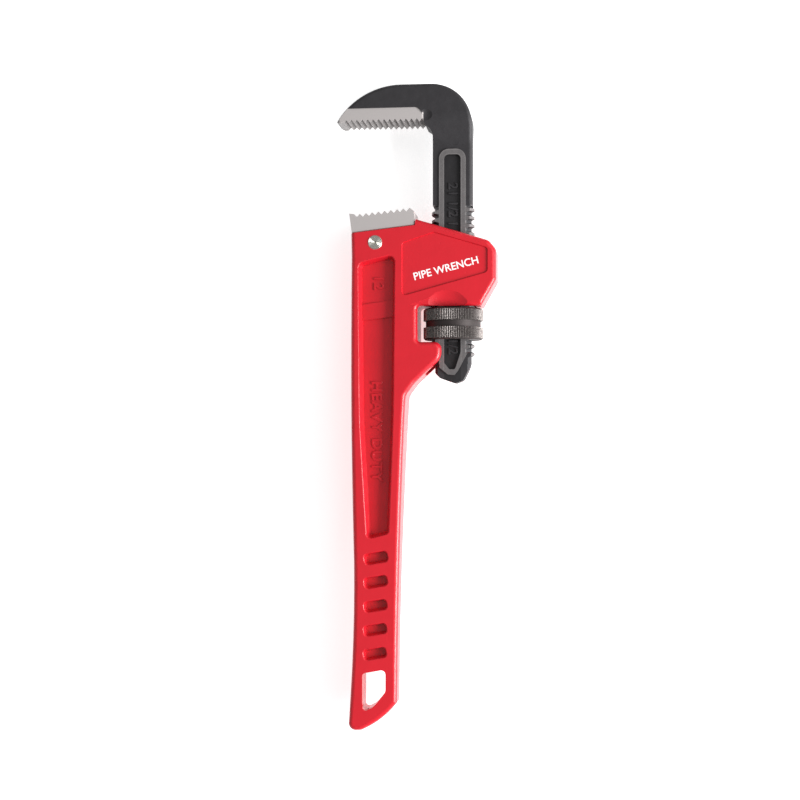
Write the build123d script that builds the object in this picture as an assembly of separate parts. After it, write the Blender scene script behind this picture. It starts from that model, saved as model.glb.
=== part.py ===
from build123d import *

import math
import os

# Twelve-inch heavy-duty pipe wrench, modelled lying flat.
#
# Each part is drawn in the screw frame: the adjusting nut turns about Y, the nut's
# middle is at Y = 0, the casting's parting plane is Z = 0 and the mouth opens towards -X.
# The finished parts are then moved so that the origin is under the middle of the wrench.

# ---- adjusting thread -------------------------------------------------------------
THREAD_PITCH = 3.6
THREAD_MAJOR_R = 9.65        # crest of the teeth on the hook jaw's shank
THREAD_ROOT_R = 8.3          # bottom of the grooves on the shank
GROOVE_ROOT_HALF = 0.65      # half width of a groove at its bottom
FLANK_SLOPE = 0.444          # groove half width gained for each mm of radius
THREAD_GAP = 0.15            # clearance of the nut's thread at crest and flanks
THREAD_TOP_Y = 52.7
THREAD_END_Y = -18.0
TOOTH_FOOT_R = 8.0           # teeth start inside the core
FIRST_TURN = -5              # turns of thread below and above Y = 0
LAST_TURN = 14

# ---- hook jaw ---------------------------------------------------------------------
SHANK_HALF_WIDTH = 8.8
SHANK_HALF_THICK = 5.8       # ridge and threaded stretch
FLAT_HALF_THICK = 5.2        # flats beside the ridge
TIP_HALF_THICK = 4.7
RELIEF_TOP_Y = -9.5
HEAD_HALF_THICK = 9.0
FLARE_START_Y = 80.0
FLARE_END_Y = 94.0
HOOK_TOP_Y = 106.9
HOOK_TIP = (-51.8, 90.7)
HOOK_BACK_CENTRE = (-22.8, 72.8)
HOOK_CORNER_R = 18.3
HOOK_TOOTH_TIP_Y = 90.1
HOOK_TOOTH_DEPTH = 1.35
HOOK_TOOTH_PITCH = 2.45
HOOK_TEETH = 15
HOOK_FIRST_TOOTH_X = -48.8
RIDGE_TOP_Y = 78.1
RIDGE_HALF_WIDTH = 6.0
CHANNEL_TOP_Y = 75.6
CHANNEL_HALF_WIDTH = 3.7
CHANNEL_DEPTH = 1.4
FLANK_TOP_Y = 96.5
FLANK_DEPTH = 0.5
HOOK_ROUND = 1.5              # along the back of the hook and shank
RUNOUT_CENTRE = (-11.6, 92.4)
RUNOUT_BALL_R = 6.0
RUNOUT_DEPTH = 0.8            # below the face of the head

# ---- adjusting nut ----------------------------------------------------------------
NUT_R = 13.4
NUT_HALF_HEIGHT = 7.0
NUT_GROOVE_R = 12.35
NUT_GROOVE_HALF = 1.5
NUT_CHAMFER = 0.7
KNURL_COUNT = 104
KNURL_DEPTH = 0.32

# ---- heel jaw and its pin ---------------------------------------------------------
HEEL_HALF_THICK = 10.0
HEEL_TONGUE_HALF = 4.0
HEEL_TOOTH_DEPTH = 1.5
HEEL_TEETH = 9
HEEL_CHAMFER = 0.5
HEEL_FIRST_TIP = (-41.1, 49.2)
HEEL_LAST_TIP = (-18.8, 51.5)
HEEL_SEAT_LEFT = (-44.7, 40.45)
HEEL_SEAT_RIGHT = (-16.7, 43.575)
PIN_CENTRE = (-34.2, 36.2)
PIN_R = 3.2
PIN_DIMPLE_R = 0.7
PIN_PROUD = 0.3              # how far the turned pin stands out of each cheek
SLOT_GAP = 0.1

# ---- handle and housing casting -----------------------------------------------------
CASTING_HALF_THICK = 10.5    # at the head
TAPER_START_Y = -24.0
TAPER_MID = (-100.0, 7.5)    # (Y, half thickness)
TAPER_END = (-190.0, 6.5)
HEAD_RIGHT_X = 19.7
HEAD_TOP_Y = 52.5             # above the housing's highest corner
HANDLE_END_Y = -182.5
WINDOW_TOP_Y = 7.8
WINDOW_BOTTOM_Y = -8.2
WINDOW_LEFT_X = -15.4
PASSAGE_HALF_THICK = 6.3
PASSAGE_LEFT_X = -10.0
PASSAGE_RIGHT_X = 10.4
PASSAGE_RELIEF = 2.4         # how much wider the passage is at its top
LUG_FLOOR_X = -12.6
CASTING_ROUND = 2.0
LIP_ROUND = 0.6               # along the rims of the recess and the pockets
RIM_LEFT_X = -42.2            # the box that those rims lie in
RIM_RIGHT_X = -25.55
RIM_LOW_Y = -155.0
RIM_HIGH_Y = 31.2
TOUCHING = 0.01
RECESS_DRAFT = 16.0
RECESS_DEPTH = 4.9
RECESS_REFERENCE_Z = 8.5
DRAFT_REACH = 5.8           # how far a drafted cutter runs each way from that level
POCKET_LENGTH = 11.2
POCKET_WIDTH = 5.6
POCKET_DEPTH = 4.0
POCKET_TILT = 10.0
POCKET_COUNT = 5
POCKET_FIRST = (-34.2, -104.7)
POCKET_LAST = (-34.8, -147.7)
POCKET_CORNER_R = 2.2
POCKET_DRAFT = 12.0
STEP_RISE = 1.7              # rise of the recess steps over half their width
PAD_TOP_Y = 60.0
BAND_TOP_Y = 9.8
BAND_BOTTOM_Y = 2.6
PAD_DEPTH = 4.3
BAND_DEPTH = 3.7
PANEL_DEPTH = 0.7
PANEL_DRAFT = 25.0
SCOOP_CENTRE = (-2.0, 4.0)
SCOOP_RIM_R = 10.7
SCOOP_BALL_R = 24.0
SHOULDER_START = (-20.5, 7.6)
SHOULDER_RISE = 19.5          # slope of the bevelled shoulder's crease, in degrees
SHOULDER_TILT = 12.0

# ---- springs ------------------------------------------------------------------------
LEAF_X = 10.0                # face of the leaf that bears on the thread
LEAF_THICK = 0.8
LEAF_HALF_WIDTH = 4.5
LEAF_BOTTOM_Y = 11.0
LEAF_TOP_Y = 33.0
LEAF_CAVITY_HALF = 5.2
COIL_Y = 23.0
COIL_WIRE_R = 0.5
COIL_MEAN_R = 3.5
COIL_PITCH = 1.45
COIL_BORE_R = 4.4
COIL_BORE_END_X = 16.6
RIVET_R = 1.4
RIVET_BOSS_R = 2.7
RIVET_BOSS_LENGTH = 1.8

TOOL = 60.0                  # length of cutting blocks that run past the part

ORIGIN_SHIFT = Location((-(HOOK_TIP[0] + HEAD_RIGHT_X) / 2, -(HOOK_TOP_Y + HANDLE_END_Y) / 2, NUT_R))


def plate(outline, half):
    """Solid of a closed outline, from Z = -half to Z = half."""
    return extrude(make_face(outline), amount=half, both=True)


def corners(points, radius):
    """Closed outline through points with its corners rounded."""
    return FilletPolyline(*points, radius=radius, close=True)


def side_profile(upper):
    """Solid between a curve of half thickness over Y and its mirror image in Z = 0."""
    lower = [mirror(edge, about=Plane.XZ) for edge in upper]
    ends = [Line(upper[0] @ 0, lower[0] @ 0), Line(upper[-1] @ 1, lower[-1] @ 1)]
    return extrude(Plane.YZ * make_face(upper + lower + ends), amount=TOOL * 2, both=True)


# ---- handle and housing ---------------------------------------------------------------
def casting_outline():
    """Outline of the one-piece handle and hook housing, seen from above."""
    head = FilletPolyline(
        (-44.9, 30.0), (-45.1, 40.4), (-16.4, 43.6), (-16.0, 46.5), (16.4, 36.7), (HEAD_RIGHT_X, 32.6),
        (HEAD_RIGHT_X, 19.2), (13.2, WINDOW_TOP_Y), (WINDOW_LEFT_X, WINDOW_TOP_Y),
        (WINDOW_LEFT_X, WINDOW_BOTTOM_Y), (-4.7, WINDOW_BOTTOM_Y), (-4.9, -15.5), (-16.5, -26.4),
        (-20.6, -32.0), (-21.2, -42.0),
        radius=[0.0, 0.0, 0.0, 4.0, 3.0, 2.0, 1.0, 1.5, 1.5, 3.0, 6.0, 12.0, 6.0],
    )
    right_edge = ThreePointArc(head @ 1, (-23.7, -104.0), (-24.9, -169.6))
    end = ThreePointArc(right_edge @ 1, (-32.3, -177.1), (-41.3, -182.4))
    foot = FilletPolyline(end @ 1, (-47.1, HANDLE_END_Y - 0.2), (-46.4, -172.0), radius=3.2)
    left_low = ThreePointArc(foot @ 1, (-44.9, -143.0), (-44.4, -107.0))
    left_edge = ThreePointArc(left_low @ 1, (-45.1, -50.0), head @ 0)
    return head.edges() + [right_edge, end] + foot.edges() + [left_low, left_edge]


def half_thickness(drop):
    """Edges of the casting's half thickness over Y, lowered by drop."""
    start = (TOOL, CASTING_HALF_THICK - drop)
    shoulder = (TAPER_START_Y, CASTING_HALF_THICK - drop)
    middle = (TAPER_MID[0], TAPER_MID[1] - drop)
    end = (TAPER_END[0], TAPER_END[1] - drop)
    return [Line(start, shoulder), Spline(shoulder, middle, end, tangents=[(-1, 0), (-1, 0)])]


def is_rounded(edge):
    """True for the long edges of the casting that are rounded by hand grinding."""
    middle = edge.center()
    in_window = middle.X > WINDOW_LEFT_X - 1 and WINDOW_BOTTOM_Y - 1 < middle.Y < WINDOW_TOP_Y + 0.5
    return abs(middle.Z) > TAPER_END[1] - 1.5 and not in_window and middle.Y < HEEL_SEAT_LEFT[1] - 3


def rims(body):
    """Edges of the recess and the pockets, where they meet the casting's faces."""
    skin = side_profile(half_thickness(0)).faces()
    faces = [face for face in skin if abs(face.normal_at(None).Z) > abs(face.normal_at(None).Y)]
    found = []
    for edge in body.edges():
        middle = edge.center()
        inside = RIM_LEFT_X < middle.X < RIM_RIGHT_X and RIM_LOW_Y < middle.Y < RIM_HIGH_Y
        if inside and edge.length < TOOL and min(face.distance_to(middle) for face in faces) < TOUCHING:
            found.append(edge)
    return found


def sunk(outline, depth, draft):
    """Cutter for a drafted pocket in the upper face, with a floor that follows the face."""
    face = make_face(outline)
    below = extrude(face, amount=-DRAFT_REACH, taper=draft)
    above = mirror(extrude(face, amount=-DRAFT_REACH, taper=-draft), about=Plane.XY)
    return Pos(0, 0, RECESS_REFERENCE_Z) * (below + above) - side_profile(half_thickness(depth))


def recess_outline():
    """The long recess of the I-section handle."""
    return corners(
        [(-41.2, 26.6), (-25.9, 30.2), (-26.6, -40.0), (-28.2, -94.0), (-38.6, -96.8), (-40.6, -45.0)], 2.2
    )


def recess_step(top_y, bottom_y, depth):
    """A slab that raises the recess floor to depth between two slanting steps."""
    outline = Polyline(
        (-46.0, top_y - STEP_RISE), (-20.0, top_y + STEP_RISE), (-20.0, bottom_y + STEP_RISE),
        (-46.0, bottom_y - STEP_RISE), close=True
    )
    return plate(outline, CASTING_HALF_THICK) & side_profile(half_thickness(depth))


def handle_recess():
    """Cutter for the recess: number pad, raised band and long panel at their own depths."""
    cutter = sunk(recess_outline(), RECESS_DEPTH, RECESS_DRAFT)
    cutter -= recess_step(PAD_TOP_Y, BAND_TOP_Y, PAD_DEPTH)
    cutter -= recess_step(BAND_TOP_Y, BAND_BOTTOM_Y, BAND_DEPTH)
    return cutter


def oval_pockets():
    """Cutters for the row of tilted oval pockets below the recess."""
    cutters = []
    for index in range(POCKET_COUNT):
        share = index / (POCKET_COUNT - 1)
        x = POCKET_FIRST[0] + share * (POCKET_LAST[0] - POCKET_FIRST[0])
        y = POCKET_FIRST[1] + share * (POCKET_LAST[1] - POCKET_FIRST[1])
        half_x = POCKET_LENGTH / 2
        half_y = POCKET_WIDTH / 2
        square = [(-half_x, -half_y), (half_x, -half_y), (half_x, half_y), (-half_x, half_y)]
        oval = Pos(x, y) * Rot(0, 0, POCKET_TILT) * Wire(corners(square, POCKET_CORNER_R).edges())
        cutters.append(sunk(oval.edges(), POCKET_DEPTH, POCKET_DRAFT))
    return cutters


def hang_hole():
    """Through hole in the end of the handle."""
    outline = corners(
        [(-40.5, -156.7), (-30.0, -154.7), (-30.0, -165.0), (-35.4, -171.6), (-40.5, -174.2)],
        [1.6, 2.0, 4.0, 8.0, 1.6],
    )
    return plate(outline, TOOL)


def head_panel():
    """Cutter for the shallow panel on the side of the housing."""
    outline = corners([(-22.3, 35.9), (-7.9, 40.6), (16.0, 33.4), (16.0, 22.4), (-22.3, 12.0)], 1.8)
    placed = Pos(0, 0, CASTING_HALF_THICK) * make_face(outline)
    return extrude(placed, amount=-PANEL_DEPTH, taper=PANEL_DRAFT)


def nut_scoop():
    """Finger relief over the nut, cut by a ball into the housing's lower edge."""
    height = CASTING_HALF_THICK + math.sqrt(SCOOP_BALL_R**2 - SCOOP_RIM_R**2)
    ball = Pos(*SCOOP_CENTRE, height) * Sphere(SCOOP_BALL_R)
    above_window = Pos(0, WINDOW_BOTTOM_Y / 2 + TOOL / 2, height) * Box(TOOL, TOOL, TOOL)
    return ball & above_window


def scoop_shoulder():
    """Shallow bevel that leads into the scoop above the window's left corner."""
    level = Pos(*SHOULDER_START, CASTING_HALF_THICK) * Rot(0, 0, SHOULDER_RISE) * Rot(SHOULDER_TILT, 0, 0)
    slab = level * Pos(TOOL / 4, -TOOL / 4, TOOL / 8) * Box(TOOL / 2, TOOL / 2, TOOL / 4)
    reach = TOOL / 4
    room = Pos(SHOULDER_START[0] + reach / 2, WINDOW_TOP_Y + reach, TOOL / 2) * Box(reach, 2 * reach, TOOL)
    return slab & room


def shank_passage():
    """Opening through the housing for the hook jaw's shank and the flat spring."""
    passage = Polyline(
        (PASSAGE_LEFT_X, WINDOW_TOP_Y - 1), (PASSAGE_RIGHT_X, WINDOW_TOP_Y - 1),
        (PASSAGE_RIGHT_X + PASSAGE_RELIEF, HEAD_TOP_Y), (PASSAGE_LEFT_X, HEAD_TOP_Y), close=True
    )
    leaf_room = corners(
        [(0.0, LEAF_BOTTOM_Y - 1.8), (LEAF_X + 2.0, LEAF_BOTTOM_Y - 1.8), (LEAF_X + 3.6, LEAF_TOP_Y + 1.5),
         (0.0, LEAF_TOP_Y + 1.5)], 0.6
    )
    lug_channel = Pos(LUG_FLOOR_X + TOOL / 2, WINDOW_BOTTOM_Y - TOOL / 2, 0)
    coil_bore = Pos(COIL_BORE_END_X / 2, COIL_Y, 0) * Rot(0, 90, 0) * Cylinder(COIL_BORE_R, COIL_BORE_END_X)
    return [
        plate(passage, PASSAGE_HALF_THICK), plate(leaf_room, LEAF_CAVITY_HALF), coil_bore,
        lug_channel * Box(TOOL, TOOL + 2, 2 * PASSAGE_HALF_THICK),
    ]


def heel_outline():
    """Outline of the heel jaw's toothed block."""
    step_x = (HEEL_LAST_TIP[0] - HEEL_FIRST_TIP[0]) / (HEEL_TEETH - 1)
    step_y = (HEEL_LAST_TIP[1] - HEEL_FIRST_TIP[1]) / (HEEL_TEETH - 1)
    points = [HEEL_SEAT_LEFT, (-45.9, 49.3), (-43.6, 49.0)]
    for index in range(HEEL_TEETH):
        tip_x = HEEL_FIRST_TIP[0] + index * step_x
        tip_y = HEEL_FIRST_TIP[1] + index * step_y
        points.append((tip_x - step_x / 2, tip_y - step_y / 2 - HEEL_TOOTH_DEPTH))
        points.append((tip_x, tip_y))
    return points + [(-16.9, 50.0), HEEL_SEAT_RIGHT]


def heel_tongue(gap):
    """The heel jaw's tongue, or with a gap the slot that takes it."""
    outline = Polyline(
        (-42.0 - gap, 42.5), (-41.6 - gap, 31.0 - gap), (-27.4 + gap, 31.0 - gap), (-24.0 + gap, 45.5),
        (-42.0 - gap, 45.5), close=True
    )
    return plate(outline, HEEL_TONGUE_HALF + gap)


def pin_hole(radius):
    """Cylinder on the heel jaw pin's axis."""
    return Pos(*PIN_CENTRE, 0) * Cylinder(radius, TOOL)


def handle_frame():
    """Cast handle with the housing that guides the hook jaw."""
    body = plate(casting_outline(), CASTING_HALF_THICK + 1) & side_profile(half_thickness(0))
    body = fillet([edge for edge in body.edges() if is_rounded(edge)], CASTING_ROUND)
    for cutter in [handle_recess()] + oval_pockets():
        body -= cutter
        body -= mirror(cutter, about=Plane.XY)
    body = fillet(rims(body), LIP_ROUND)
    for cutter in [head_panel(), nut_scoop(), scoop_shoulder()]:
        body -= cutter
        body -= mirror(cutter, about=Plane.XY)
    for cutter in shank_passage() + [heel_tongue(SLOT_GAP), pin_hole(PIN_R), hang_hole()]:
        body -= cutter
    return body


# ---- heel jaw and pin -------------------------------------------------------------------
def heel_jaw():
    """Toothed heel jaw with the tongue that its pin holds."""
    block = plate(Polyline(*heel_outline(), close=True), HEEL_HALF_THICK)
    seat_y = max(HEEL_SEAT_LEFT[1], HEEL_SEAT_RIGHT[1])
    rim = [edge for edge in block.edges() if edge.center().Y < seat_y and edge.length > TOOL / 4]
    block = chamfer([edge for edge in rim if abs(edge.center().Z) > TOUCHING], HEEL_CHAMFER)
    return block + heel_tongue(0.0) - pin_hole(PIN_R)


def heel_jaw_pin():
    """Pin through both cheeks and the tongue, with a turned centre in each end."""
    half_length = CASTING_HALF_THICK + PIN_PROUD
    pin = Pos(*PIN_CENTRE, 0) * Cylinder(PIN_R, 2 * half_length)
    pin = chamfer(pin.edges(), PIN_PROUD)
    dimple = Pos(*PIN_CENTRE, half_length) * Cone(0.0, 2 * PIN_DIMPLE_R, 2 * PIN_DIMPLE_R)
    return pin - dimple - mirror(dimple, about=Plane.XY)


# ---- thread -------------------------------------------------------------------------------
def helical_bar(section, start_y, turns):
    """Bar wound round the Y axis from its +Z side; section is a list of (radius, half width)."""
    lower = [(radius, -half) for radius, half in section]
    upper = [(radius, half) for radius, half in section[::-1]]
    outline = lower + upper
    path = Helix(THREAD_PITCH, turns * THREAD_PITCH, section[0][0])
    bar = sweep(Plane.XZ * make_face(Polyline(*outline, close=True)), path=path, is_frenet=True)
    return Pos(0, start_y, 0) * Rot(0, 90, 0) * Rot(-90, 0, 0) * bar


def groove_half(radius):
    """Half width of the shank's thread groove at a radius."""
    return GROOVE_ROOT_HALF + FLANK_SLOPE * (radius - THREAD_ROOT_R)


def shank_teeth():
    """Teeth on both edges of the shank: one turn of thread, flattened and repeated."""
    section = [(radius, THREAD_PITCH / 2 - groove_half(radius)) for radius in (TOOTH_FOOT_R, THREAD_MAJOR_R)]
    turn = helical_bar(section, THREAD_PITCH / 2, 1) & Box(TOOL, TOOL, 2 * SHANK_HALF_THICK)
    return [
        Pos(0, index * THREAD_PITCH, 0) * tooth
        for index in range(FIRST_TURN, LAST_TURN)
        for tooth in turn.solids()
    ]


def nut_thread():
    """The nut's own thread, a bar that runs in the shank's groove."""
    inner_r = THREAD_ROOT_R + THREAD_GAP
    outer_r = THREAD_MAJOR_R + 2 * THREAD_GAP
    section = [(radius, groove_half(radius) - THREAD_GAP) for radius in (inner_r, outer_r)]
    return helical_bar(section, -3 * THREAD_PITCH, 6)


# ---- adjusting nut --------------------------------------------------------------------------
def adjusting_nut():
    """Knurled nut, captive in the housing's window."""
    bore_r = THREAD_MAJOR_R + 1.5 * THREAD_GAP
    half = NUT_HALF_HEIGHT
    profile = Polyline(
        (bore_r, half), (NUT_R - NUT_CHAMFER, half), (NUT_R, half - NUT_CHAMFER), (NUT_R, NUT_GROOVE_HALF),
        (NUT_GROOVE_R, NUT_GROOVE_HALF), (NUT_GROOVE_R, -NUT_GROOVE_HALF), (NUT_R, -NUT_GROOVE_HALF),
        (NUT_R, NUT_CHAMFER - half), (NUT_R - NUT_CHAMFER, -half), (bore_r, -half), close=True
    )
    ring = revolve(make_face(profile), axis=Axis.Y)
    star = []
    for index in range(KNURL_COUNT):
        for radius, turn in ((NUT_R, index), (NUT_R - KNURL_DEPTH, index + 0.5)):
            angle = 2 * math.pi * turn / KNURL_COUNT
            star.append((radius * math.cos(angle), radius * math.sin(angle)))
    knurled = extrude(Plane.XZ * make_face(Polyline(*star, close=True)), amount=half, both=True)
    thread = nut_thread() & Box(TOOL, 2 * half, TOOL)
    return (ring & knurled) + thread


# ---- hook jaw -----------------------------------------------------------------------------
def hook_outline():
    """Outline of the hook and the smooth stretch of its shank."""
    last_tip_x = HOOK_FIRST_TOOTH_X + (HOOK_TEETH - 1) * HOOK_TOOTH_PITCH
    valley_y = HOOK_TOOTH_TIP_Y + HOOK_TOOTH_DEPTH
    teeth = [HOOK_TIP, (HOOK_FIRST_TOOTH_X - 1.6, HOOK_TOOTH_TIP_Y)]
    for index in range(HOOK_TEETH):
        tip_x = HOOK_FIRST_TOOTH_X + index * HOOK_TOOTH_PITCH
        teeth.append((tip_x, HOOK_TOOTH_TIP_Y))
        teeth.append((tip_x + HOOK_TOOTH_PITCH / 2, valley_y))
    jaw = Polyline(*teeth)
    throat = FilletPolyline(
        jaw @ 1, (last_tip_x + 2.6, 88.6), (-SHANK_HALF_WIDTH, 86.4), (-SHANK_HALF_WIDTH, THREAD_TOP_Y),
        (SHANK_HALF_WIDTH, THREAD_TOP_Y), (SHANK_HALF_WIDTH, HOOK_TOP_Y - HOOK_CORNER_R),
        radius=[0.6, 4.5, 0.0, 0.0]
    )
    corner = RadiusArc(throat @ 1, (SHANK_HALF_WIDTH - HOOK_CORNER_R, HOOK_TOP_Y), -HOOK_CORNER_R)
    top = Line(corner @ 1, (HOOK_BACK_CENTRE[0], HOOK_TOP_Y))
    back = RadiusArc(top @ 1, HOOK_TIP, -(HOOK_TOP_Y - HOOK_BACK_CENTRE[1]))
    return jaw.edges() + throat.edges() + [corner, top, back]


def hook_thickness():
    """Edges of the hook's half thickness over Y, flaring from shank to head."""
    low = (FLARE_START_Y, FLAT_HALF_THICK)
    high = (FLARE_END_Y, HEAD_HALF_THICK)
    flare = Spline(low, high, tangents=[(1, 0), (1, 0)])
    return [Line((0.0, FLAT_HALF_THICK), low), flare, Line(high, (2 * TOOL, HEAD_HALF_THICK))]


def shank_round(radius, low_y, high_y):
    """Round bar about Y, flattened to the shank's thickness."""
    bar = Pos(0, (low_y + high_y) / 2, 0) * Rot(90, 0, 0) * Cylinder(radius, high_y - low_y)
    return bar & Box(TOOL, 4 * TOOL, 2 * SHANK_HALF_THICK)


def shank_tip():
    """Plain end of the shank below the thread."""
    outline = FilletPolyline(
        (-12.0, 0.0), (-12.0, THREAD_END_Y), (-8.4, -19.2), (-8.4, -21.5), (-5.5, -24.3), (1.2, -26.6),
        (4.8, -25.2), (8.1, -18.6), (12.0, THREAD_END_Y), (12.0, 0.0),
        radius=[0.0, 0.0, 0.8, 2.0, 2.0, 2.0, 0.0, 0.0]
    )
    face = make_face(outline.edges() + [Line(outline @ 1, outline @ 0)])
    tip_r = THREAD_ROOT_R - THREAD_GAP
    blank = shank_round(tip_r, THREAD_END_Y - TOOL / 4, THREAD_END_Y + 1)
    return blank & extrude(face, amount=TOOL, both=True)


def lower_relief():
    """Cutter that lowers the faces of the shank's end outside its pointed ridge."""
    ridge = Polyline(
        (-6.3, -5.0), (-6.3, -19.1), (-2.1, -22.6), (0.9, -22.9), (2.5, -21.0), (7.8, -11.0), (7.8, -5.0),
        close=True
    )
    cheeks = Box(TOOL, TOOL, TOOL) - Box(TOOL, TOOL, 2 * TIP_HALF_THICK)
    block = Pos(0, RELIEF_TOP_Y - TOOL / 2, 0) * cheeks
    return block - plate(ridge, TOOL)


def ridge_and_channel():
    """Raised U-shaped ridge, and the channel cut inside it, on both faces of the shank."""
    side = RIDGE_HALF_WIDTH
    foot_y = THREAD_TOP_Y - 4
    ridge = corners(
        [(-side, RIDGE_TOP_Y), (side, RIDGE_TOP_Y), (side, foot_y), (-side, foot_y)], [4.4, 4.4, 0.0, 0.0]
    )
    half = CHANNEL_HALF_WIDTH
    channel = corners(
        [(-half, CHANNEL_TOP_Y), (half, CHANNEL_TOP_Y), (half, -12.7), (1.2, -20.3), (-1.4, -20.3),
         (-half, -17.4)],
        [2.0, 2.0, 2.0, 1.0, 1.0, 1.0]
    )
    cutter = plate(channel, SHANK_HALF_THICK + 1) - plate(channel, SHANK_HALF_THICK - CHANNEL_DEPTH)
    return plate(ridge, SHANK_HALF_THICK), cutter


def is_back(edge):
    """True for the long edges of the hook's back and the shank's outer side."""
    middle = edge.center()
    outer = middle.X > SHANK_HALF_WIDTH - HOOK_ROUND and middle.Y > THREAD_TOP_Y
    above = middle.Y > HOOK_TIP[1] + 1 and abs(middle.Y - FLARE_END_Y) > TOUCHING
    return abs(middle.Z) > FLAT_HALF_THICK / 2 and (outer or above)


def ground_flank():
    """Cutter for the ground strip above the hook's teeth, on the upper face."""
    outline = FilletPolyline(
        (-60.0, 85.0), (-60.0, FLANK_TOP_Y), (-13.6, FLANK_TOP_Y), (-12.4, 85.0), radius=[0.0, 4.0],
        close=False
    )
    face = make_face(outline.edges() + [Line(outline @ 1, outline @ 0)])
    return extrude(Pos(0, 0, HEAD_HALF_THICK - FLANK_DEPTH) * face, amount=TOOL)


def hook_jaw():
    """Forged hook jaw with its toothed head and threaded shank."""
    ridge, channel = ridge_and_channel()
    head = plate(hook_outline(), TOOL) & side_profile(hook_thickness())
    head = fillet([edge for edge in head.edges() if is_back(edge)], HOOK_ROUND)
    threaded = shank_round(THREAD_ROOT_R, THREAD_END_Y, THREAD_TOP_Y) + shank_teeth()
    shank = threaded + shank_tip() - lower_relief()
    hook = head + ridge + shank
    flank = ground_flank()
    runout = Pos(*RUNOUT_CENTRE, HEAD_HALF_THICK - RUNOUT_DEPTH + RUNOUT_BALL_R) * Sphere(RUNOUT_BALL_R)
    for cutter in channel.solids():
        hook -= cutter
    for cutter in [flank, runout]:
        hook -= cutter
        hook -= mirror(cutter, about=Plane.XY)
    return hook


# ---- springs --------------------------------------------------------------------------------
def flat_spring():
    """Leaf that bears on the back of the shank, with its ends bent clear of the thread."""
    line = FilletPolyline(
        (LEAF_X + 1.0, LEAF_BOTTOM_Y), (LEAF_X + LEAF_THICK / 2, LEAF_BOTTOM_Y + 3.0),
        (LEAF_X + LEAF_THICK / 2, LEAF_TOP_Y - 3.0), (LEAF_X + 1.2, LEAF_TOP_Y), radius=4.0
    )
    strip = trace(line, LEAF_THICK)
    leaf = extrude(strip, amount=LEAF_HALF_WIDTH, both=True)
    return leaf - Pos(LEAF_X, COIL_Y, 0) * Rot(0, 90, 0) * Cylinder(RIVET_R, 4.0)


def spring_rivet():
    """Rivet that holds the end of the coil spring on the leaf."""
    along_x = Rot(0, 90, 0)
    stem = Pos(LEAF_X + LEAF_THICK / 2, COIL_Y, 0) * along_x * Cylinder(RIVET_R, LEAF_THICK)
    boss_x = LEAF_X + LEAF_THICK + RIVET_BOSS_LENGTH / 2
    return stem + Pos(boss_x, COIL_Y, 0) * along_x * Cylinder(RIVET_BOSS_R, RIVET_BOSS_LENGTH)


def coil_spring():
    """Compression spring between the leaf and the bottom of the blind bore."""
    start_x = LEAF_X + LEAF_THICK + COIL_WIRE_R + 0.05
    length = COIL_BORE_END_X - COIL_WIRE_R - 0.05 - start_x
    path = Helix(COIL_PITCH, length, COIL_MEAN_R)
    wire = Plane(origin=path @ 0, z_dir=path % 0) * Circle(COIL_WIRE_R)
    return Pos(start_x, COIL_Y, 0) * Rot(0, 90, 0) * sweep(wire, path=path, is_frenet=True)


def main():
    """Write every part, moved to the wrench's own origin."""
    os.makedirs("parts", exist_ok=True)
    makers = [
        handle_frame, heel_jaw, heel_jaw_pin, hook_jaw,
        adjusting_nut, flat_spring, spring_rivet, coil_spring,
    ]
    for maker in makers:
        shape = ORIGIN_SHIFT * maker()
        export_step(shape, f"parts/{maker.__name__}.step")


if __name__ == "__main__":
    main()
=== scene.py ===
import logging
import math
from dataclasses import dataclass, field
from enum import Enum
from typing import Any, Optional, Union

import bmesh
import bpy
from mathutils import Matrix, Vector


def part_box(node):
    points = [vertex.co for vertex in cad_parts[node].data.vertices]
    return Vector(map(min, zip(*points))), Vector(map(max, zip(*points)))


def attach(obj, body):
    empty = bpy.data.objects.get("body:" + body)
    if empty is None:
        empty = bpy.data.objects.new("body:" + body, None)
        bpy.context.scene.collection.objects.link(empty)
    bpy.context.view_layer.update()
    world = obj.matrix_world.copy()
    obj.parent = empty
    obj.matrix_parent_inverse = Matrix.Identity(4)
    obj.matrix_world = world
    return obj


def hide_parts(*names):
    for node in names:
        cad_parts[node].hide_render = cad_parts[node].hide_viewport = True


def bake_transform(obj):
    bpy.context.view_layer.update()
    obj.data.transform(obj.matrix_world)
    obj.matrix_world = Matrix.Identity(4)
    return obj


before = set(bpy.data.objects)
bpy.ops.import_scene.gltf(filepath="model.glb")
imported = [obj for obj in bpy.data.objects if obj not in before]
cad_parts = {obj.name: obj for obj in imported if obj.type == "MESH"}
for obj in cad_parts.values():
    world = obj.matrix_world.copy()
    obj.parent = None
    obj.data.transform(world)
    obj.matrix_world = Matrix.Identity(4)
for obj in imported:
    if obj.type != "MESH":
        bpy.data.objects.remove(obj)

LOG = logging.getLogger("pipe_wrench")
MM = 0.001

Number = Union[int, float]
Colour = tuple[float, float, float]
Tint = Union["Signal", Colour]
Sockets = dict[Union[str, int], Any]
Corner = tuple[float, float, float]
Point = tuple[float, float, float]

READS_DOWN = -math.pi / 2


class Body(Enum):
    """Bodies of the frame that pieces ride on."""

    HANDLE = "handle"
    SPRING_CARRIER = "spring_carrier"
    HOOK = "hook"


class Slot(Enum):
    """Material slots of the record."""

    RED_PAINT = "red_paint"
    BLACK_OXIDE = "black_oxide"
    SPRING_STEEL = "spring_steel"


class Side(Enum):
    """The two faces of the wrench; the value is the sign of Z."""

    TOP = 1
    UNDER = -1


# ---- shader maths --------------------------------------------------------------------------
@dataclass(frozen=True)
class Grain:
    """A noise pattern: features for each millimetre, number and strength of its finer layers."""

    scale: float
    detail: float = 2.0
    roughness: float = 0.5
    drawn: Optional[Point] = None


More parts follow.
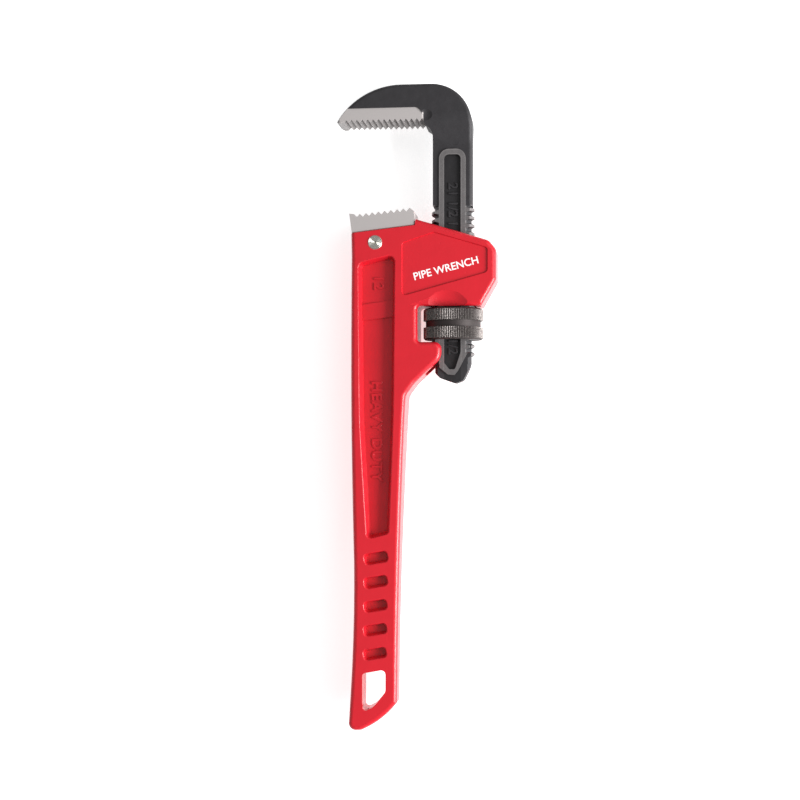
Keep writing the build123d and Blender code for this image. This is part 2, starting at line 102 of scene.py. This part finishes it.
class Signal:
    """A node socket that can be used in Python arithmetic."""

    def __init__(self, graph: "Graph", socket: bpy.types.NodeSocket) -> None:
        """Keep the socket and the graph it belongs to."""
        self.graph = graph
        self.socket = socket

    def _math(self, operation: str, *others: Union["Signal", Number]) -> "Signal":
        """Add a Math node for an operation on this value and others."""
        terms = dict(enumerate((self, *others)))
        return self.graph.add("ShaderNodeMath", {"operation": operation}, terms)

    def __add__(self, other: Union["Signal", Number]) -> "Signal":
        """Sum."""
        return self._math("ADD", other)

    def __radd__(self, other: Number) -> "Signal":
        """Reflected sum."""
        return self + other

    def __sub__(self, other: Union["Signal", Number]) -> "Signal":
        """Difference."""
        return self._math("SUBTRACT", other)

    def __rsub__(self, other: Number) -> "Signal":
        """Reflected difference."""
        return self * -1.0 + other

    def __mul__(self, other: Union["Signal", Number]) -> "Signal":
        """Product."""
        return self._math("MULTIPLY", other)

    def __rmul__(self, other: Number) -> "Signal":
        """Reflected product."""
        return self * other

    def __abs__(self) -> "Signal":
        """Absolute value."""
        return self._math("ABSOLUTE")

    def over(self, edge: Number, soft: Number) -> "Signal":
        """Smooth 0 to 1 mask that passes one half at an edge.

        Args:
            edge: Value at which the mask is one half.
            soft: Width of the change.

        Returns:
            The mask.
        """
        return self.graph.add(
            "ShaderNodeMapRange",
            {"interpolation_type": "SMOOTHSTEP"},
            {"Value": self, "From Min": edge - soft / 2, "From Max": edge + soft / 2},
        )

    def under(self, edge: Number, soft: Number) -> "Signal":
        """Smooth mask that is 1 below an edge."""
        return 1.0 - self.over(edge, soft)

    def root(self) -> "Signal":
        """Square root."""
        return self._math("SQRT")

    def sine(self) -> "Signal":
        """Sine."""
        return self._math("SINE")

    def at_most(self, other: Union["Signal", Number]) -> "Signal":
        """Smaller of two values."""
        return self._math("MINIMUM", other)

    def at_least(self, other: Union["Signal", Number]) -> "Signal":
        """Larger of two values."""
        return self._math("MAXIMUM", other)


class Graph:
    """Builder for one material's node tree."""

    def __init__(self, name: str) -> None:
        """Start an empty material with its output node."""
        self.material = bpy.data.materials.new(name)
        self.material.use_nodes = True
        self.tree = self.material.node_tree
        self.tree.nodes.clear()
        self.output = self.tree.nodes.new("ShaderNodeOutputMaterial")

    def add(
        self,
        kind: str,
        settings: Optional[dict[str, Any]] = None,
        values: Optional[Sockets] = None,
        out: Union[str, int] = 0,
    ) -> Signal:
        """Add a node of any type.

        Args:
            kind: The node's type.
            settings: Attributes of the node, set before its sockets.
            values: Numbers, colours or signals for its input sockets.
            out: Which output socket to return.

        Returns:
            The chosen output.
        """
        node = self.tree.nodes.new(kind)
        for key, value in (settings or {}).items():
            setattr(node, key, value)
        for key, value in (values or {}).items():
            if isinstance(value, Signal):
                self.tree.links.new(value.socket, node.inputs[key])
            else:
                node.inputs[key].default_value = value
        return Signal(self, node.outputs[out])

    def position(self, centre: Vector, turn: float = 0.0) -> Signal:
        """Object coordinates in millimetres from a point, turned about Z.

        Args:
            centre: The point, in metres.
            turn: Turn of the pattern about Z, in radians.

        Returns:
            The coordinates as a vector signal.
        """
        raw = self.add("ShaderNodeTexCoord", out="Object")
        shift = {0: raw, 1: tuple(centre)}
        moved = self.add("ShaderNodeVectorMath", {"operation": "SUBTRACT"}, shift)
        sized = self.stretch(moved, (1 / MM, 1 / MM, 1 / MM))
        if turn == 0.0:
            return sized
        turned = {"Vector": sized, "Rotation": (0, 0, turn)}
        return self.add("ShaderNodeMapping", {"vector_type": "POINT"}, turned)

    def axes(self, position: Signal) -> tuple[Signal, Signal, Signal]:
        """The X, Y and Z of a vector signal."""
        split = self.add("ShaderNodeSeparateXYZ", values={"Vector": position})
        return tuple(Signal(self, split.socket.node.outputs[axis]) for axis in "XYZ")

    def stretch(self, position: Signal, scale: tuple[float, float, float]) -> Signal:
        """Position scaled differently along its axes, for drawn-out patterns."""
        scaled = {"Vector": position, "Scale": scale}
        return self.add("ShaderNodeMapping", {"vector_type": "POINT"}, scaled)

    def noise(self, position: Signal, grain: Grain) -> Signal:
        """Add a noise pattern from 0 to 1.

        Args:
            position: Where to read it.
            grain: The pattern.

        Returns:
            The noise.
        """
        if grain.drawn is not None:
            position = self.stretch(position, grain.drawn)
        return self.add(
            "ShaderNodeTexNoise", {"noise_dimensions": "3D"},
            {
                "Vector": position, "Scale": grain.scale, "Detail": grain.detail,
                "Roughness": grain.roughness,
            },
        )

    def blend(self, mask: Signal, low: Tint, high: Tint) -> Signal:
        """Mix two colours by a mask.

        Args:
            mask: Share of the second colour, from 0 to 1.
            low: The first colour.
            high: The second colour.

        Returns:
            The mixed colour.
        """
        low, high = (tint if isinstance(tint, Signal) else (*tint, 1.0) for tint in (low, high))
        mixed = {"Factor": mask, "A": low, "B": high}
        return self.add("ShaderNodeMix", {"data_type": "RGBA"}, mixed, out="Result")

    def shade(self, colour: Signal, amount: Signal) -> Signal:
        """Make a colour darker or lighter by a factor.

        Args:
            colour: The colour.
            amount: The factor.

        Returns:
            The shaded colour.
        """
        channels = {channel: amount for channel in ("Red", "Green", "Blue")}
        grey = self.add("ShaderNodeCombineColor", values=channels)
        settings = {"data_type": "RGBA", "blend_type": "MULTIPLY"}
        mixed = {"Factor": 1.0, "A": colour, "B": grey}
        return self.add("ShaderNodeMix", settings, mixed, out="Result")

    def bump(self, height: Signal, distance: float, normal: Optional[Signal] = None) -> Signal:
        """Turn a height map into a normal.

        Args:
            height: Height, from 0 to 1.
            distance: The full height, in metres.
            normal: Normal to build on, if there is one.

        Returns:
            The normal.
        """
        values: Sockets = {"Height": height, "Distance": distance, "Strength": 1.0}
        if normal is not None:
            values["Normal"] = normal
        return self.add("ShaderNodeBump", values=values)

    def surface(self, constants: dict[str, Any], varied: dict[str, Signal]) -> bpy.types.Material:
        """Finish the material with a Principled shader.

        Args:
            constants: Values set on the shader's own sockets.
            varied: Signals for the sockets that change over the surface.

        Returns:
            The material.
        """
        shader = self.add("ShaderNodeBsdfPrincipled", values={**constants, **varied})
        self.tree.links.new(shader.socket, self.output.inputs["Surface"])
        return self.material


# ---- finishes -----------------------------------------------------------------------------
@dataclass(frozen=True)
class RedEnamel:
    """Gloss enamel over a sand casting."""

    colour: Colour = (0.66, 0.013, 0.026)
    deep: Colour = (0.50, 0.006, 0.014)
    roughness: float = 0.36
    coat: float = 0.3
    coat_roughness: float = 0.2
    specular: float = 0.35
    wave_grain: Grain = Grain(0.12, 3.0)
    peel_grain: Grain = Grain(1.5)
    grit_grain: Grain = Grain(4.0, 1.0)
    pit_grain: Grain = Grain(0.85, 0.0)
    wave_height: float = 0.00012
    peel_height: float = 0.000035

    def material(self, centre: Vector) -> bpy.types.Material:
        """Build the material around the wrench's screw centre.

        Args:
            centre: The screw centre, in metres.

        Returns:
            The material.
        """
        graph = Graph("red_enamel")
        position = graph.position(centre)
        waves = graph.noise(position, self.wave_grain)
        peel = graph.noise(position, self.peel_grain)
        grit = graph.noise(position, self.grit_grain)
        pits = graph.noise(position, self.pit_grain).over(0.80, 0.05)
        colour = graph.blend(waves * 0.5 + grit * 0.15, self.colour, self.deep)
        rough = peel * 0.14 + waves * 0.10 + (self.roughness - 0.12)
        normal = graph.bump(waves, self.wave_height)
        normal = graph.bump(peel * 0.8 + grit * 0.2 - pits * 0.6, self.peel_height, normal=normal)
        constants = {
            "Metallic": 0.0,
            "Coat Weight": self.coat,
            "Coat Roughness": self.coat_roughness,
            "Specular IOR Level": self.specular,
        }
        varied = {"Base Color": colour, "Roughness": rough, "Normal": normal}
        return graph.surface(constants, varied)


@dataclass(frozen=True)
class ForgedOxide:
    """Black-oxide forging whose raised faces and jaw are ground bright."""

    oxide: Colour = (0.030, 0.028, 0.031)
    # Grey of worn steel, which also paints the highlight on the ridge's rims.
    wear_and_highlight_grey: Colour = (0.26, 0.245, 0.245)
    steel: Colour = (0.60, 0.56, 0.55)
    fine_grain: Grain = Grain(2.2, 3.0, 0.6)
    coarse_grain: Grain = Grain(0.25, 3.0)
    speck_grain: Grain = Grain(3.5, 1.0)
    grinding_grain: Grain = Grain(1.2, 3.0, 0.65, drawn=(0.25, 6.0, 0.25))
    scale_height: float = 0.00016
    fine_height: float = 0.00004
    ridge_height: float = 5.55
    flare_height: float = 5.95
    ridge_top: float = 78.6
    rim_half: float = 0.22
    channel_height: float = 4.9
    channel_half: float = 3.742
    channel_top: float = 76.0
    thread_top: float = 53.0
    jaw_right: float = -12.7
    jaw_top: float = 96.45
    jaw_foot: float = 80.0
    flank_height: float = 8.62
    notch_height: float = 8.32
    back_centre: tuple[float, float] = (-22.8, 72.8)
    back_radius: float = 34.1
    back_edge: float = 0.35
    tooth_root: float = 91.6
    tooth_crest: float = 9.45
    ridge_corner: Corner = (1.6, 73.7, 4.4)
    channel_corner: Corner = (1.7, 73.6, 2.0)

    def rim(self, x: Signal, y: Signal, corner: Corner, inward: float) -> Signal:
        """Mask of the narrow rim along a rounded outline on the shank, where a highlight is
        painted.

        Args:
            x: Distance from the shank's middle line.
            y: Distance along the shank.
            corner: Centre of the outline's corner, and its radius.
            inward: -1 for a rim inside the outline, 1 for one outside it.

        Returns:
            The mask.
        """
        across = (abs(x) - corner[0]).at_least(0.0)
        along = (y - corner[1]).at_least(0.0)
        reach = corner[2] + inward * self.rim_half
        away = abs((across * across + along * along).root() - reach)
        return away.under(self.rim_half, 0.12)

    def material(self, centre: Vector) -> bpy.types.Material:
        """Build the material around the wrench's screw centre.

        Args:
            centre: The screw centre, in metres.

        Returns:
            The material.
        """
        graph = Graph("forged_oxide")
        position = graph.position(centre)
        x, y, z = graph.axes(position)
        depth = abs(z)
        fine = graph.noise(position, self.fine_grain)
        coarse = graph.noise(position, self.coarse_grain)
        ridge = depth.over(self.ridge_height, 0.12) * depth.under(self.flare_height, 0.1)
        ridge = ridge * y.under(self.ridge_top, 0.4)
        crest = (x * x + z * z).root().over(self.tooth_crest, 0.25) * y.under(self.thread_top, 0.6)
        specks = graph.noise(position, self.speck_grain).over(0.5, 0.25)
        # The rims of the ridge and channel get speckled light grey: a painted highlight of their
        # rounded edges.
        outer_rim = self.rim(x, y, self.ridge_corner, -1.0)
        inner_rim = self.rim(x, y, self.channel_corner, 1.0)
        rim_highlight = outer_rim.at_least(inner_rim) * ridge * (specks * 0.8 + 0.2)
        # Ground ridge and thread crests are real rubbed wear; the rim term adds painted highlight.
        rub_and_highlight = (ridge * 0.62 + crest * 0.8 + rim_highlight * 0.5).at_most(1.2)
        rub_and_highlight = rub_and_highlight * (fine * 0.8 + 0.55).at_most(1.0)
        from_x = x - self.back_centre[0]
        from_y = y - self.back_centre[1]
        from_back = (from_x * from_x + from_y * from_y).root()
        ground = x.under(self.jaw_right, 0.1) * y.under(self.jaw_top, 0.1)
        ground = ground * depth.under(self.flank_height, 0.08) * y.over(self.jaw_foot, 1.0)
        ground = ground * from_back.under(self.back_radius - self.back_edge, 0.15)
        grinding = graph.noise(position, self.grinding_grain)
        channel = depth.under(self.channel_height, 0.3) * (x * x).under(self.channel_half**2, 1.0)
        channel = channel * y.under(self.channel_top, 0.5)
        dark = graph.blend(rub_and_highlight, self.oxide, self.wear_and_highlight_grey)
        dark = graph.shade(dark, coarse * 0.4 + fine * 0.35 + 0.65)
        dark = graph.shade(dark, 1.0 - channel * 0.45)
        notches = y.under(self.tooth_root, 0.2) * depth.under(self.notch_height, 0.15)
        bright = graph.blend(grinding * 0.18, self.steel, self.wear_and_highlight_grey)
        bright = graph.shade(bright, 1.0 - notches * (specks * 0.35 + 0.4))
        colour = graph.blend(ground, dark, bright)
        rough = 0.50 + fine * 0.16 - rub_and_highlight * 0.10
        rough = rough * (1.0 - ground) + ground * (grinding * 0.16 + 0.36)
        metal = (rub_and_highlight * 0.45 + 0.25).at_most(1.0) * (1.0 - ground) + ground * 0.45
        scale = graph.bump(coarse * (1.0 - ground), self.scale_height)
        texture = (fine * 0.9 + grinding * 0.1) * (1.0 - ground) + grinding * ground
        normal = graph.bump(texture, self.fine_height, normal=scale)
        varied = {"Base Color": colour, "Roughness": rough, "Metallic": metal, "Normal": normal}
        return graph.surface({"Specular IOR Level": 0.5}, varied)


@dataclass(frozen=True)
class GroundSteel:
    """Surface-ground tool steel with fine parallel marks."""

    name: str = "ground_steel"
    colour: Colour = (0.62, 0.58, 0.57)
    shadow: Colour = (0.44, 0.41, 0.40)
    grain_turn: float = math.radians(-6.0)
    roughness: float = 0.38
    metallic: float = 0.45
    mark_grain: Grain = Grain(1.2, 3.0, 0.65, drawn=(0.22, 6.0, 0.22))
    cloud_grain: Grain = Grain(0.2)
    mark_height: float = 0.00002

    def material(self, centre: Vector) -> bpy.types.Material:
        """Build the material around the wrench's screw centre.

        Args:
            centre: The screw centre, in metres.

        Returns:
            The material.
        """
        graph = Graph(self.name)
        position = graph.position(centre, self.grain_turn)
        marks = graph.noise(position, self.mark_grain)
        cloud = graph.noise(position, self.cloud_grain)
        colour = graph.blend(marks * 0.35 + cloud * 0.2, self.colour, self.shadow)
        rough = marks * 0.14 + cloud * 0.08 + (self.roughness - 0.08)
        normal = graph.bump(marks, self.mark_height)
        varied = {"Base Color": colour, "Roughness": rough, "Normal": normal}
        return graph.surface({"Metallic": self.metallic}, varied)


@dataclass(frozen=True)
class PhosphateSteel:
    """Dark phosphate on turned and knurled steel, lighter on its knurl crests: partly rubbed wear,
    partly painted highlight.
    """

    dark: Colour = (0.040, 0.032, 0.031)
    # Colour of the knurl crests: rubbed steel with a painted highlight.
    rub_and_highlight: Colour = (0.46, 0.42, 0.40)
    crest_radius: float = 13.28
    fine_grain: Grain = Grain(2.4, 3.0, 0.6)
    cloud_grain: Grain = Grain(0.35)
    fine_height: float = 0.00005

    def material(self, centre: Vector) -> bpy.types.Material:
        """Build the material around the nut's centre.

        Args:
            centre: The nut's centre, in metres.

        Returns:
            The material.
        """
        graph = Graph("phosphate_steel")
        position = graph.position(centre)
        x, _, z = graph.axes(position)
        radius = (x * x + z * z).root()
        fine = graph.noise(position, self.fine_grain)
        cloud = graph.noise(position, self.cloud_grain)
        # Knurl crests lightened in speckles, partly real rub and partly painted highlight.
        crest = radius.over(self.crest_radius, 0.16) * fine.over(0.44, 0.22)
        colour = graph.blend(crest * 0.7, self.dark, self.rub_and_highlight)
        colour = graph.shade(colour, cloud * 0.5 + fine * 0.4 + 0.55)
        rough = 0.42 + fine * 0.18 - crest * 0.08
        metal = crest * 0.4 + 0.5
        normal = graph.bump(fine, self.fine_height)
        varied = {"Base Color": colour, "Roughness": rough, "Metallic": metal, "Normal": normal}
        return graph.surface({}, varied)


@dataclass(frozen=True)
class TurnedSteel:
    """Bright steel faced on a lathe, with concentric tool marks."""

    colour: Colour = (0.78, 0.77, 0.70)
    shadow: Colour = (0.30, 0.29, 0.25)
    cloud_grain: Grain = Grain(1.2)
    ring_pitch: float = 0.28
    ring_height: float = 0.00006

    def material(self, axis: Vector) -> bpy.types.Material:
        """Build the material around the pin's axis.

        Args:
            axis: A point on the pin's axis, in metres.

        Returns:
            The material.
        """
        graph = Graph("turned_steel")
        position = graph.position(axis)
        x, y, _ = graph.axes(position)
        radius = (x * x + y * y).root()
        rings = (radius * (2 * math.pi / self.ring_pitch)).sine() * 0.5 + 0.5
        cloud = graph.noise(position, self.cloud_grain)
        colour = graph.blend(rings * 0.3 + cloud * 0.3, self.colour, self.shadow)
        normal = graph.bump(rings, self.ring_height)
        varied = {"Base Color": colour, "Roughness": cloud * 0.1 + 0.2, "Normal": normal}
        return graph.surface({"Metallic": 1.0}, varied)


@dataclass(frozen=True)
class SpringSteel:
    """Blued spring steel, drawn lengthwise."""

    colour: Colour = (0.16, 0.15, 0.16)
    heated: Colour = (0.10, 0.10, 0.15)
    drawn_grain: Grain = Grain(1.0, drawn=(4.0, 0.4, 4.0))
    drawn_height: float = 0.00002

    def material(self, centre: Vector) -> bpy.types.Material:
        """Build the material around the wrench's screw centre.

        Args:
            centre: The screw centre, in metres.

        Returns:
            The material.
        """
        graph = Graph("spring_steel")
        position = graph.position(centre)
        drawn = graph.noise(position, self.drawn_grain)
        colour = graph.blend(drawn, self.colour, self.heated)
        normal = graph.bump(drawn, self.drawn_height)
        varied = {"Base Color": colour, "Roughness": drawn * 0.2 + 0.25, "Normal": normal}
        return graph.surface({"Metallic": 1.0}, varied)


@dataclass(frozen=True)
class WhiteInk:
    """Pad-printed white ink."""

    colour: Colour = (0.95, 0.95, 0.95)
    thin: Colour = (0.88, 0.82, 0.82)
    cover_grain: Grain = Grain(3.0)
    cover_height: float = 0.00001

    def material(self, centre: Vector) -> bpy.types.Material:
        """Build the material around the wrench's screw centre.

        Args:
            centre: The screw centre, in metres.

        Returns:
            The material.
        """
        graph = Graph("white_ink")
        position = graph.position(centre)
        cover = graph.noise(position, self.cover_grain)
        colour = graph.blend(cover.over(0.62, 0.2), self.colour, self.thin)
        normal = graph.bump(cover, self.cover_height)
        varied = {"Base Color": colour, "Roughness": cover * 0.2 + 0.4, "Normal": normal}
        return graph.surface({"Metallic": 0.0}, varied)


@dataclass(frozen=True)
class StudioPaper:
    """Matt white backdrop paper that glows: painted light that lifts the shadows on it and lights
    the wrench from below.
    """

    colour: Colour = (0.93, 0.93, 0.93)
    shadow: Colour = (0.88, 0.88, 0.88)
    fibre_grain: Grain = Grain(0.8, 3.0)
    # Strength of the paper's glow, painted light from a floor that is no lamp.
    painted_floor_glow: float = 0.62

    def material(self) -> bpy.types.Material:
        """Build the material.

        Returns:
            The material.
        """
        graph = Graph("studio_paper")
        position = graph.position(Vector((0, 0, 0)))
        fibre = graph.noise(position, self.fibre_grain)
        colour = graph.blend(fibre * 0.06, self.colour, self.shadow)
        constants = {
            "Metallic": 0.0,
            "Emission Color": (1.0, 1.0, 1.0, 1.0),
            "Emission Strength": self.painted_floor_glow,
        }
        return graph.surface(constants, {"Base Color": colour, "Roughness": fibre * 0.1 + 0.8})


# ---- lettering ----------------------------------------------------------------------------
@dataclass(frozen=True)
class Lettering:
    """Raised or printed lettering that lies on a face of the wrench."""

    name: str
    words: str
    place: tuple[float, float]
    height: float
    level: float
    rise: float
    sink: float
    turn: float = 0.0
    spacing: float = 1.0
    width: float = 1.0
    weight: float = 0.0
    bevel: float = 0.0
    slope: float = 0.0

    def build(self, centre: Vector, side: Side) -> bpy.types.Object:
        """Make the letters as a closed mesh in their place.

        Args:
            centre: The screw centre, in metres.
            side: Which face of the wrench they are on.

        Returns:
            The piece, with its place in its mesh.
        """
        curve = bpy.data.curves.new(self.name, "FONT")
        curve.body = self.words
        curve.align_x = "CENTER"
        curve.align_y = "CENTER"
        curve.space_character = self.spacing
        curve.size = 1.0
        curve.offset = self.weight
        curve.resolution_u = 4
        curve.extrude = (self.rise + self.sink) / 2 / self.height
        curve.bevel_depth = self.bevel / self.height
        curve.bevel_resolution = 1
        flat = bpy.data.objects.new(self.name + "_text", curve)
        bpy.context.scene.collection.objects.link(flat)
        bpy.context.view_layer.update()
        depsgraph = bpy.context.evaluated_depsgraph_get()
        mesh = bpy.data.meshes.new_from_object(flat.evaluated_get(depsgraph))
        bpy.data.objects.remove(flat)
        low = Vector([min(v.co[i] for v in mesh.vertices) for i in range(3)])
        high = Vector([max(v.co[i] for v in mesh.vertices) for i in range(3)])
        size = self.height * MM / (high.y - low.y)
        middle = (low + high) / 2
        place = Vector((self.place[0] * MM, self.place[1] * MM, 0)) + centre
        place.z += side.value * (self.level + (self.rise - self.sink) / 2) * MM
        flip = Matrix.Identity(4) if side is Side.TOP else Matrix.Rotation(math.pi, 4, "Y")
        tilt = Matrix.Rotation(side.value * self.slope, 4, "X")
        scale = Matrix.Diagonal((size * self.width, size, self.height * MM, 1.0))
        spin = Matrix.Rotation(self.turn, 4, "Z")
        to_middle = Matrix.Translation(-middle)
        mesh.transform(Matrix.Translation(place) @ tilt @ flip @ spin @ scale @ to_middle)
        mesh.name = f"{self.name}_{side.name.lower()}"
        merge_and_close(mesh)
        piece = bpy.data.objects.new(mesh.name, mesh)
        bpy.context.scene.collection.objects.link(piece)
        return piece


def merge_and_close(mesh: bpy.types.Mesh) -> None:
    """Merge a mesh's doubles and turn its faces outwards.

    Args:
        mesh: The mesh, which is changed.
    """
    work = bmesh.new()
    work.from_mesh(mesh)
    bmesh.ops.remove_doubles(work, verts=work.verts, dist=1e-7)
    bmesh.ops.recalc_face_normals(work, faces=work.faces)
    work.to_mesh(mesh)
    work.free()


def dress(piece: bpy.types.Object, material: bpy.types.Material) -> None:
    """Put one material in every slot of a piece.

    Args:
        piece: The piece.
        material: The material.
    """
    if not piece.data.materials:
        piece.data.materials.append(material)
    for slot in piece.material_slots:
        slot.material = material


# ---- sub-assemblies -------------------------------------------------------------------------
@dataclass
class HandleCasting:
    """The cast handle and housing, with its raised and printed lettering."""

    node: str = "handle_frame"
    enamel: RedEnamel = field(default_factory=RedEnamel)
    ink: WhiteInk = field(default_factory=WhiteInk)
    number: Lettering = Lettering(
        "size_number", "12", (-32.9, 18.1), height=4.6, level=6.2, rise=0.5, sink=0.2,
        turn=READS_DOWN, spacing=1.15, weight=0.006, bevel=0.08,
    )
    word: Lettering = Lettering(
        "raised_word", "HEAVY DUTY", (-33.9, -48.3), height=4.9, level=4.95, rise=0.6, sink=0.5,
        turn=READS_DOWN, spacing=1.12, width=1.05, weight=0.012, bevel=0.08,
        slope=math.radians(2.0),
    )
    printed: Lettering = Lettering(
        "printed_name", "PIPE WRENCH", (-2.6, 24.4), height=3.4, level=9.8, rise=0.03, sink=0.05,
        turn=math.radians(14.2), weight=0.014,
    )

    def build(self, centre: Vector) -> list[bpy.types.Object]:
        """Dress the casting and add its lettering on both faces.

        Args:
            centre: The screw centre, in metres.

        Returns:
            The new pieces.
        """
        paint = self.enamel.material(centre)
        ink = self.ink.material(centre)
        dress(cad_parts[self.node], paint)
        pieces = []
        for side in Side:
            for lettering, finish in (
                (self.number, paint), (self.word, paint), (self.printed, ink),
            ):
                piece = lettering.build(centre, side)
                dress(piece, finish)
                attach(piece, Body.HANDLE.value)
                pieces.append(piece)
        return pieces


@dataclass
class HookJaw:
    """The forged hook jaw, with pipe sizes in its channels."""

    node: str = "hook_jaw"
    oxide: ForgedOxide = field(default_factory=ForgedOxide)
    sizes: tuple[tuple[str, float], ...] = (
        ("2", 61.6), ("1 1/2", 53.2), ("1", 44.8), ("3/4", 0.0), ("1/2", -10.5),
    )
    letter_x: float = 0.3
    letter_height: float = 4.4
    channel_level: float = 4.4

    def build(self, centre: Vector) -> list[bpy.types.Object]:
        """Dress the jaw and raise the pipe sizes in both channels.

        Args:
            centre: The screw centre, in metres.

        Returns:
            The new pieces.
        """
        finish = self.oxide.material(centre)
        dress(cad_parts[self.node], finish)
        pieces = []
        for side in Side:
            for index, (words, place_y) in enumerate(self.sizes):
                lettering = Lettering(
                    f"pipe_size_{index + 1}", words, (self.letter_x, place_y),
                    height=self.letter_height, level=self.channel_level, rise=0.5, sink=0.2,
                    turn=READS_DOWN, weight=0.006, bevel=0.08,
                )
                piece = lettering.build(centre, side)
                dress(piece, finish)
                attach(piece, Body.HOOK.value)
                pieces.append(piece)
        return pieces


@dataclass
class HeelJaw:
    """The heel jaw and the pin that holds it."""

    jaw_node: str = "heel_jaw"
    pin_node: str = "heel_jaw_pin"
    steel: GroundSteel = field(default_factory=GroundSteel)
    turned: TurnedSteel = field(default_factory=TurnedSteel)

    def build(self, centre: Vector) -> list[bpy.types.Object]:
        """Dress the jaw, and the pin around its own axis.

        Args:
            centre: The screw centre, in metres.

        Returns:
            No new pieces.
        """
        dress(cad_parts[self.jaw_node], self.steel.material(centre))
        low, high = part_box(self.pin_node)
        dress(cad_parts[self.pin_node], self.turned.material((low + high) / 2))
        return []


@dataclass
class AdjustingNut:
    """The knurled nut."""

    node: str = "adjusting_nut"
    phosphate: PhosphateSteel = field(default_factory=PhosphateSteel)

    def build(self, centre: Vector) -> list[bpy.types.Object]:
        """Dress the nut."""
        dress(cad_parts[self.node], self.phosphate.material(centre))
        return []


@dataclass
class JawSprings:
    """The leaf, its coil spring and their rivet inside the housing."""

    leaf_node: str = "flat_spring"
    coil_node: str = "coil_spring"
    rivet_node: str = "spring_rivet"
    spring: SpringSteel = field(default_factory=SpringSteel)
    steel: GroundSteel = GroundSteel(name="rivet_steel")

    def pressed_coil(self) -> bpy.types.Object:
        """Copy the coil as a piece that the leaf presses into its bore.

        Returns:
            The piece, a copy of the coil in its place; the coil part is hidden.
        """
        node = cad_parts[self.coil_node]
        mesh = node.data.copy()
        mesh.transform(node.matrix_world)
        mesh.name = "pressed_coil"
        coil = bpy.data.objects.new("pressed_coil", mesh)
        bpy.context.scene.collection.objects.link(coil)
        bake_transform(coil)
        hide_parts(self.coil_node)
        return coil

    def build(self, centre: Vector) -> list[bpy.types.Object]:
        """Dress the leaf and the rivet, and add the coil.

        Args:
            centre: The screw centre, in metres.

        Returns:
            The new pieces.
        """
        steel = self.spring.material(centre)
        dress(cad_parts[self.leaf_node], steel)
        dress(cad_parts[self.rivet_node], self.steel.material(centre))
        coil = self.pressed_coil()
        dress(coil, steel)
        return [coil]


# ---- studio ---------------------------------------------------------------------------------
@dataclass(frozen=True)
class Softbox:
    """A square soft light that faces a point, with sizes in metres and its power in watts."""

    name: str
    place: Point
    target: Point
    size: float
    power: float

    def hang(self) -> None:
        """Add the light to the scene."""
        data = bpy.data.lights.new(self.name, "AREA")
        data.shape = "SQUARE"
        data.size = self.size
        data.energy = self.power
        light = bpy.data.objects.new(self.name, data)
        bpy.context.scene.collection.objects.link(light)
        place = Vector(self.place)
        facing = (Vector(self.target) - place).to_track_quat("-Z", "Y")
        light.matrix_world = Matrix.Translation(place) @ facing.to_matrix().to_4x4()


@dataclass
class Studio:
    """Paper floor, soft lights and camera."""

    paper: StudioPaper = field(default_factory=StudioPaper)
    softboxes: tuple[Softbox, ...] = (
        Softbox("key_softbox", (0.78, -0.20, 0.42), (0.0, -0.03, 0.0), size=0.5, power=15.0),
        Softbox("far_softbox", (0.60, 0.45, 0.95), (0.0, 0.0, 0.0), size=0.6, power=2.0),
    )
    camera_foot: tuple[float, float] = (-24.0, -47.4)
    camera_height: float = 650.0
    focal_length: float = 65.0
    sensor_width: float = 36.0
    yaw: float = math.radians(6.5)
    shift_up: float = 0.0375
    floor_half: float = 2.0
    world_strength: float = 0.38

    def camera(self, centre: Vector) -> bpy.types.Object:
        """Place the camera over the wrench.

        Args:
            centre: The screw centre, in metres.

        Returns:
            The camera.
        """
        turn = Matrix.Rotation(self.yaw, 4, "Y")
        spot = turn @ Vector((*self.camera_foot, self.camera_height)) * MM
        data = bpy.data.cameras.new("camera")
        data.lens = self.focal_length
        data.sensor_width = self.sensor_width
        data.shift_y = self.shift_up
        data.clip_start = 0.01
        camera = bpy.data.objects.new("camera", data)
        bpy.context.scene.collection.objects.link(camera)
        camera.matrix_world = Matrix.Translation(centre + spot) @ turn
        bpy.context.scene.camera = camera
        return camera

    def floor(self) -> bpy.types.Object:
        """Lay the paper floor under the wrench.

        Returns:
            The floor.
        """
        work = bmesh.new()
        bmesh.ops.create_grid(work, x_segments=1, y_segments=1, size=self.floor_half)
        mesh = bpy.data.meshes.new("paper_floor")
        work.to_mesh(mesh)
        work.free()
        floor = bpy.data.objects.new("paper_floor", mesh)
        bpy.context.scene.collection.objects.link(floor)
        dress(floor, self.paper.material())
        return floor

    def build(self, centre: Vector) -> None:
        """Set up floor, lights, world and camera.

        Args:
            centre: The screw centre, in metres.
        """
        self.floor()
        for softbox in self.softboxes:
            softbox.hang()
        world = bpy.data.worlds.new("studio")
        world.use_nodes = True
        background = world.node_tree.nodes["Background"]
        background.inputs["Color"].default_value = (1.0, 1.0, 1.0, 1.0)
        background.inputs["Strength"].default_value = self.world_strength
        bpy.context.scene.world = world
        bpy.context.scene.view_settings.view_transform = "Standard"
        self.camera(centre)


def main() -> None:
    """Build the looks of every sub-assembly and the studio around them."""
    logging.basicConfig(level=logging.INFO, format="%(name)s: %(message)s")
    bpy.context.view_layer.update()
    low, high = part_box("adjusting_nut")
    centre = (low + high) / 2
    for assembly in (HandleCasting(), HookJaw(), HeelJaw(), AdjustingNut(), JawSprings()):
        names = [piece.name for piece in assembly.build(centre)]
        LOG.info("%s: %s", type(assembly).__name__, ", ".join(names) or "dressed")
    Studio().build(centre)


if __name__ == "__main__":
    main()
